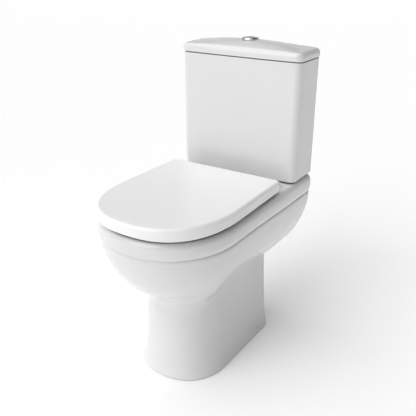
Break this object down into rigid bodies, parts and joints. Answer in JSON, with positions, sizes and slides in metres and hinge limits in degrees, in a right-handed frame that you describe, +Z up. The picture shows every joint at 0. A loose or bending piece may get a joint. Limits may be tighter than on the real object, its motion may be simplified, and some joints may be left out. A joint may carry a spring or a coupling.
{
  "type": "close coupled toilet",
  "caption": "Close coupled toilet: D-shaped pan on a waisted pedestal, hinged seat ring and lid on a sunk deck, and a slim cistern with lift-off lid and split flush button.",
  "frame": {"origin": "on the floor, at the middle of the footprint box", "axes": "+Z up, the user sits facing -Y, +Y towards the wall, +X to the right of a person looking at the front"},
  "size_m": [0.3866, 0.6466, 0.8705],
  "materials": {
    "glazed_china": "gloss white glaze",
    "seat_thermoset": "satin to gloss moulded white",
    "chrome": "polished",
    "stainless_steel": "plain drawn",
    "brass": "as cast",
    "white_plastic": "moulded",
    "grey_plastic": "moulded",
    "blue_plastic": "moulded",
    "black_rubber": "matt",
    "soft_white_rubber": "matt"
  },
  "bodies": {
    "pan_and_cistern": {"pan": "glazed_china", "cistern_tank": "glazed_china", "hinge_post_left": "chrome", "hinge_post_right": "chrome", "floor_bracket_left": "stainless_steel", "floor_bracket_right": "stainless_steel", "pan_side_screw_left": "stainless_steel", "pan_side_screw_right": "stainless_steel", "hinge_pin_left": "stainless_steel", "hinge_pin_right": "stainless_steel", "hinge_bolt_left": "stainless_steel", "hinge_bolt_right": "stainless_steel", "coupling_bolt_left": "brass", "coupling_bolt_right": "brass", "coupling_wing_nut_left": "brass", "coupling_wing_nut_right": "brass", "fill_valve_nut": "brass", "pan_side_screw_cap_left": "white_plastic", "pan_side_screw_cap_right": "white_plastic", "hinge_wing_nut_left": "white_plastic", "hinge_wing_nut_right": "white_plastic", "flush_valve_base": "white_plastic", "flush_valve_nut": "white_plastic", "fill_valve_body": "white_plastic", "flush_valve_tower": "blue_plastic", "fill_valve_head": "blue_plastic", "hinge_washer_left": "black_rubber", "hinge_washer_right": "black_rubber", "flush_valve_washer": "black_rubber", "doughnut_washer": "black_rubber", "coupling_washer_left": "black_rubber", "coupling_washer_right": "black_rubber", "fill_valve_washer": "black_rubber"},
    "seat_ring_body": {"seat_ring": "seat_thermoset", "ring_buffer_front_left": "soft_white_rubber", "ring_buffer_front_right": "soft_white_rubber", "ring_buffer_rear_left": "soft_white_rubber", "ring_buffer_rear_right": "soft_white_rubber"},
    "seat_lid_body": {"seat_lid": "seat_thermoset", "lid_buffer_left": "soft_white_rubber", "lid_buffer_right": "soft_white_rubber"},
    "cistern_lid_body": {"cistern_lid": "glazed_china", "button_bezel": "chrome", "button_lock_nut": "white_plastic", "full_flush_button_spring": "stainless_steel", "half_flush_button_spring": "stainless_steel"},
    "full_button_body": {"full_flush_button": "chrome"},
    "half_button_body": {"half_flush_button": "chrome"},
    "full_plunger_body": {"full_flush_plunger": "grey_plastic"},
    "half_plunger_body": {"half_flush_plunger": "grey_plastic"},
    "lift_tube_body": {"overflow_tube": "white_plastic", "flush_valve_seal": "black_rubber"},
    "float_body": {"float_cup": "grey_plastic"},
    "float_lever_body": {"float_lever": "white_plastic"}
  },
  "joints": [
    {"name": "ring_hinge", "type": "hinge", "parent": "pan_and_cistern", "child": "seat_ring_body", "pos_m": [0, 0.142, 0.495], "axis": [-1, 0, 0], "range_deg": [0, 92]},
    {"name": "lid_hinge", "type": "hinge", "parent": "seat_ring_body", "child": "seat_lid_body", "pos_m": [0, 0.142, 0.495], "axis": [1, 0, 0], "range_deg": [-92, 0]},
    {"name": "cistern_lid_lift", "type": "slide", "parent": "pan_and_cistern", "child": "cistern_lid_body", "axis": [0, 0, 1], "range_m": [0, 0.12]},
    {"name": "full_button_press", "type": "slide", "parent": "cistern_lid_body", "child": "full_button_body", "axis": [0, 0, -1], "range_m": [0, 0.006], "stiffness_N_per_m": 500, "springref_m": -0.004, "deforming": ["full_flush_button_spring"]},
    {"name": "half_button_press", "type": "slide", "parent": "cistern_lid_body", "child": "half_button_body", "axis": [0, 0, -1], "range_m": [0, 0.006], "stiffness_N_per_m": 500, "springref_m": -0.004, "deforming": ["half_flush_button_spring"]},
    {"name": "full_plunger_slide", "type": "slide", "parent": "pan_and_cistern", "child": "full_plunger_body", "axis": [0, 0, -1], "range_m": [0, 0.006]},
    {"name": "half_plunger_slide", "type": "slide", "parent": "pan_and_cistern", "child": "half_plunger_body", "axis": [0, 0, -1], "range_m": [0, 0.006]},
    {"name": "lift_tube_rise", "type": "slide", "parent": "pan_and_cistern", "child": "lift_tube_body", "axis": [0, 0, 1], "range_m": [0, 0.012]},
    {"name": "float_rise", "type": "slide", "parent": "pan_and_cistern", "child": "float_body", "axis": [0, 0, 1], "range_m": [0, 0.015]},
    {"name": "float_lever_turn", "type": "hinge", "parent": "pan_and_cistern", "child": "float_lever_body", "pos_m": [-0.145, 0.262, 0.752], "axis": [0, -1, 0], "range_deg": [0, 34]}
  ],
  "couplings": [
    {"joint": "full_plunger_slide", "follows": "full_button_press", "ratio": 1},
    {"joint": "half_plunger_slide", "follows": "half_button_press", "ratio": 1},
    {"joint": "lift_tube_rise", "follows": "full_button_press", "ratio": 2},
    {"joint": "float_lever_turn", "follows": "float_rise", "rad_per_m": 38.5}
  ]
}
